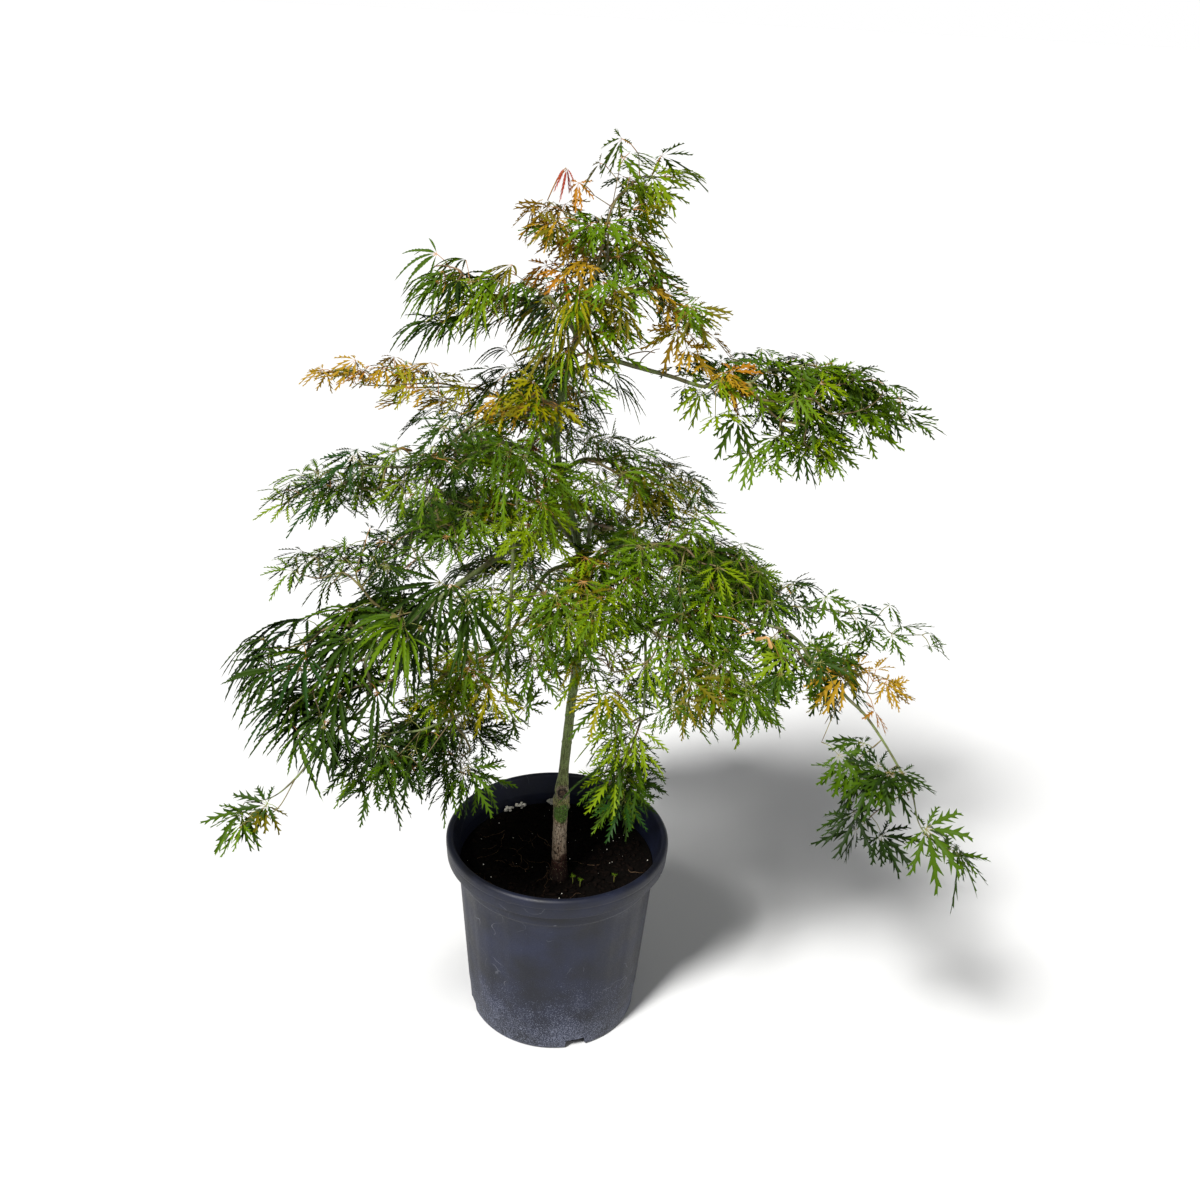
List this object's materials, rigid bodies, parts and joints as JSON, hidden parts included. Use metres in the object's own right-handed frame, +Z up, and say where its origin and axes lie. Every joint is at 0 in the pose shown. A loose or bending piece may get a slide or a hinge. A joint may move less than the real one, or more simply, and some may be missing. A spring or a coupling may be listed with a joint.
{
  "type": "potted japanese maple",
  "caption": "Young weeping laceleaf japanese maple on one grafted stem, standing in a round black plastic nursery pot of compost.",
  "frame": {"origin": "on the ground under the middle of the pot, on the pot's flat underside", "axes": "+Z up along the pot's axis; +X to the right and +Y to the back, as the plant is seen from the front, with its longest weeping bough falling to the front right"},
  "size_m": [0.8605, 0.6598, 1.16],
  "materials": {
    "pot": "satin",
    "soil": "matte",
    "bark": "matte",
    "leaf": "matte",
    "dark_leaf": "matte",
    "gold_leaf": "matte"
  },
  "bodies": {
    "root": {"pot": "pot", "soil": "soil", "trunk": "bark", "bough_crown_top": "bark", "bough_top_left": "bark", "bough_top_right": "bark", "bough_big_right": "bark", "bough_gold_spray": "bark", "bough_left_upper": "bark", "bough_mid_left": "bark", "bough_centre_left": "bark", "bough_dome": "bark", "bough_strap_left": "bark", "bough_low_left_inner": "bark", "bough_right_mass": "bark", "bough_right_arm": "bark", "bough_right_fall": "bark", "bough_front_centre": "bark", "bough_front_left": "bark", "bough_front_right": "bark", "bough_back_high": "bark", "bough_back_left": "bark", "bough_back_middle": "bark", "bough_back_right": "bark", "bough_hang_left": "bark", "bough_left_tip": "bark", "bough_fall_tip": "bark", "bough_pot_hang": "bark", "foliage_crown_top": "leaf", "foliage_crown_gold": "gold_leaf", "foliage_top_right": "leaf", "foliage_top_left": "dark_leaf", "foliage_heart": "leaf", "foliage_gold_spray": "gold_leaf", "foliage_left_upper": "leaf", "foliage_mid_left": "leaf", "foliage_left_mid": "leaf", "foliage_centre_left": "leaf", "foliage_strap_left": "dark_leaf", "foliage_strap_drop": "dark_leaf", "foliage_low_left_inner": "leaf", "foliage_low_left_front": "dark_leaf", "foliage_left_tip": "dark_leaf", "foliage_hang_left": "leaf", "foliage_big_right": "leaf", "foliage_dome": "leaf", "foliage_right_mass": "leaf", "foliage_front_centre": "leaf", "foliage_front_left": "leaf", "foliage_front_right": "leaf", "foliage_pot_hang": "leaf", "foliage_right_arm": "leaf", "foliage_right_fall": "leaf", "foliage_fall_mid": "leaf", "foliage_fall_tip": "leaf", "foliage_back_high": "leaf", "foliage_back_left": "leaf", "foliage_back_middle": "leaf", "foliage_back_right": "leaf", "foliage_back_drop": "leaf"}
  },
  "joints": []
}
